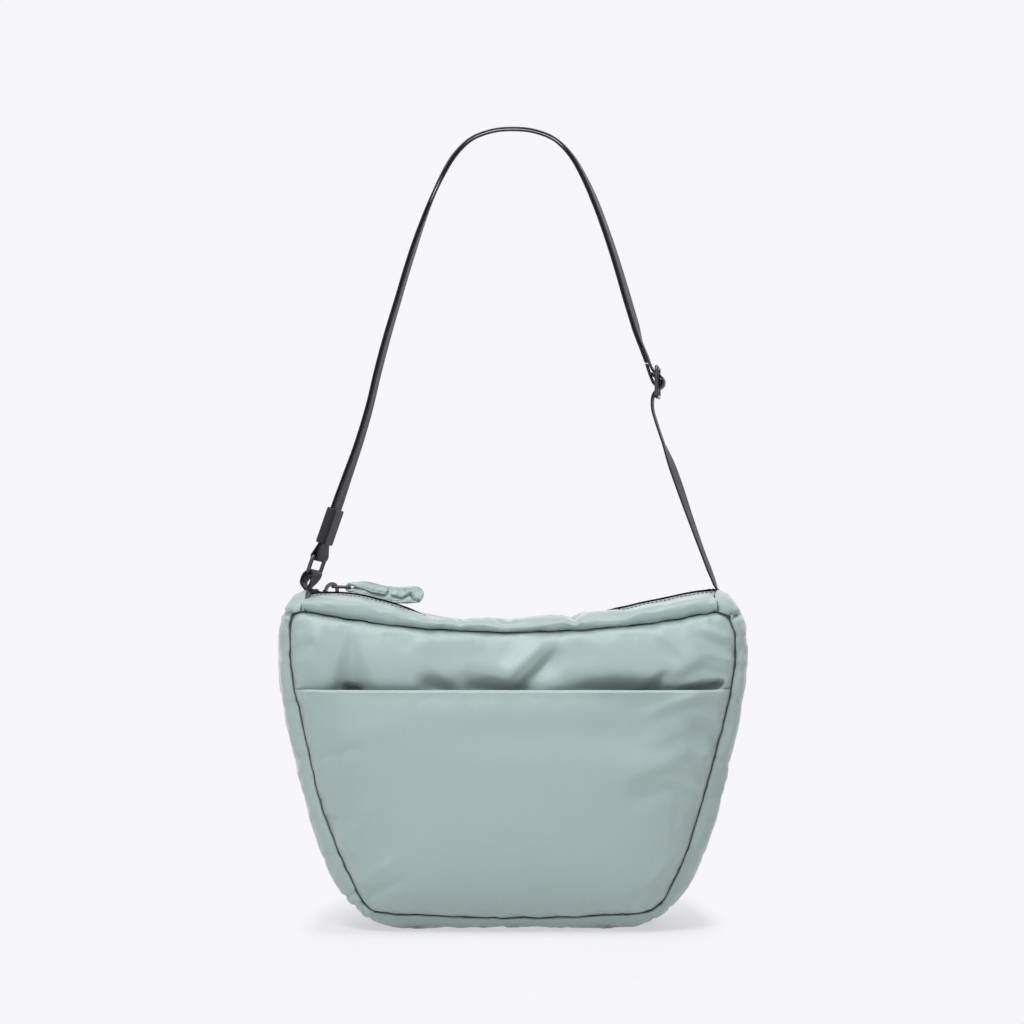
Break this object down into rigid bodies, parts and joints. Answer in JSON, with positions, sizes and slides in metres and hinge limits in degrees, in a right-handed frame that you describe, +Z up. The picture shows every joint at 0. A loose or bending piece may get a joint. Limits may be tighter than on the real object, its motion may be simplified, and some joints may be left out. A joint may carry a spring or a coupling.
{
  "type": "half moon bag",
  "caption": "Half moon shoulder bag in padded nylon with a zipped curved mouth, a front slip pocket and an adjustable webbing strap.",
  "frame": {"origin": "middle of the flat strip of the base that the bag stands on, halfway between the front and rear seams", "axes": "+X to the right as seen from the front, +Y to the back, +Z up"},
  "size_m": [0.3, 0.1076, 0.5095],
  "materials": {
    "sage_nylon": "matte coated weave",
    "lining": "matte",
    "wadding": "fluffy",
    "webbing": "matte ribbed weave",
    "zip_tape": "matte weave",
    "zip_teeth": "satin",
    "dark_metal": "satin black"
  },
  "bodies": {
    "bag": {"gusset_shell": "sage_nylon", "gusset_wadding": "wadding", "gusset_lining": "lining", "zip_stop_left": "dark_metal", "zip_stop_right": "dark_metal", "tab_seam_end": "webbing", "strap_seam_end": "webbing"},
    "front_side": {"front_panel": "sage_nylon", "front_wadding": "wadding", "front_lining": "lining", "pocket_panel": "sage_nylon", "pocket_lining": "lining", "front_top_band": "sage_nylon", "front_zip_tape": "zip_tape", "front_zip_chain": "zip_teeth"},
    "rear_side": {"rear_panel": "sage_nylon", "rear_wadding": "wadding", "rear_lining": "lining", "rear_top_band": "sage_nylon", "rear_zip_tape": "zip_tape", "rear_zip_chain": "zip_teeth"},
    "slider": {"slider_body": "dark_metal", "slider_bridge": "dark_metal"},
    "pull": {"pull_link": "dark_metal", "pull_tab": "sage_nylon"},
    "strap": {"ring_tab": "webbing", "strap_ring": "dark_metal", "strap_webbing": "webbing", "strap_return_run": "webbing", "strap_adjuster_run": "webbing", "strap_lower_run": "webbing"},
    "keeper": {"strap_keeper": "webbing"},
    "triglide": {"triglide": "dark_metal", "strap_stitched_end": "webbing"}
  },
  "joints": [
    {"name": "mouth_front", "type": "hinge", "parent": "bag", "child": "front_side", "pos_m": [0, -0.038, 0.004], "axis": [1, 0, 0], "range_deg": [0, 6], "deforming": ["front_zip_chain", "front_zip_tape"]},
    {"name": "mouth_rear", "type": "hinge", "parent": "bag", "child": "rear_side", "pos_m": [0, 0.038, 0.004], "axis": [-1, 0, 0], "range_deg": [0, 6], "deforming": ["rear_zip_chain", "rear_zip_tape"]},
    {"name": "zip_slide", "type": "hinge", "parent": "bag", "child": "slider", "pos_m": [0, 0, 0.58461], "axis": [0, -1, 0], "range_deg": [0, 34.61]},
    {"name": "pull_swing", "type": "hinge", "parent": "slider", "child": "pull", "pos_m": [-0.11499, 0, 0.2156], "axis": [0, -1, 0], "range_deg": [0, 120]},
    {"name": "strap_swing", "type": "hinge", "parent": "bag", "child": "strap", "pos_m": [0, 0, 0.2295], "axis": [1, 0, 0], "range_deg": [-95, 95]},
    {"name": "keeper_slide", "type": "slide", "parent": "strap", "child": "keeper", "axis": [0.3274, 0, 0.9449], "range_m": [0, 0.035]},
    {"name": "triglide_slide", "type": "slide", "parent": "strap", "child": "triglide", "axis": [-0.2633, 0, 0.9647], "range_m": [0, 0.05], "deforming": ["strap_adjuster_run", "strap_return_run"]}
  ],
  "couplings": [
    {"joint": "mouth_rear", "follows": "mouth_front", "ratio": 1},
    {"joint": "zip_slide", "follows": "mouth_front", "ratio": 5.769},
    {"joint": "pull_swing", "follows": "mouth_front", "ratio": 20}
  ]
}
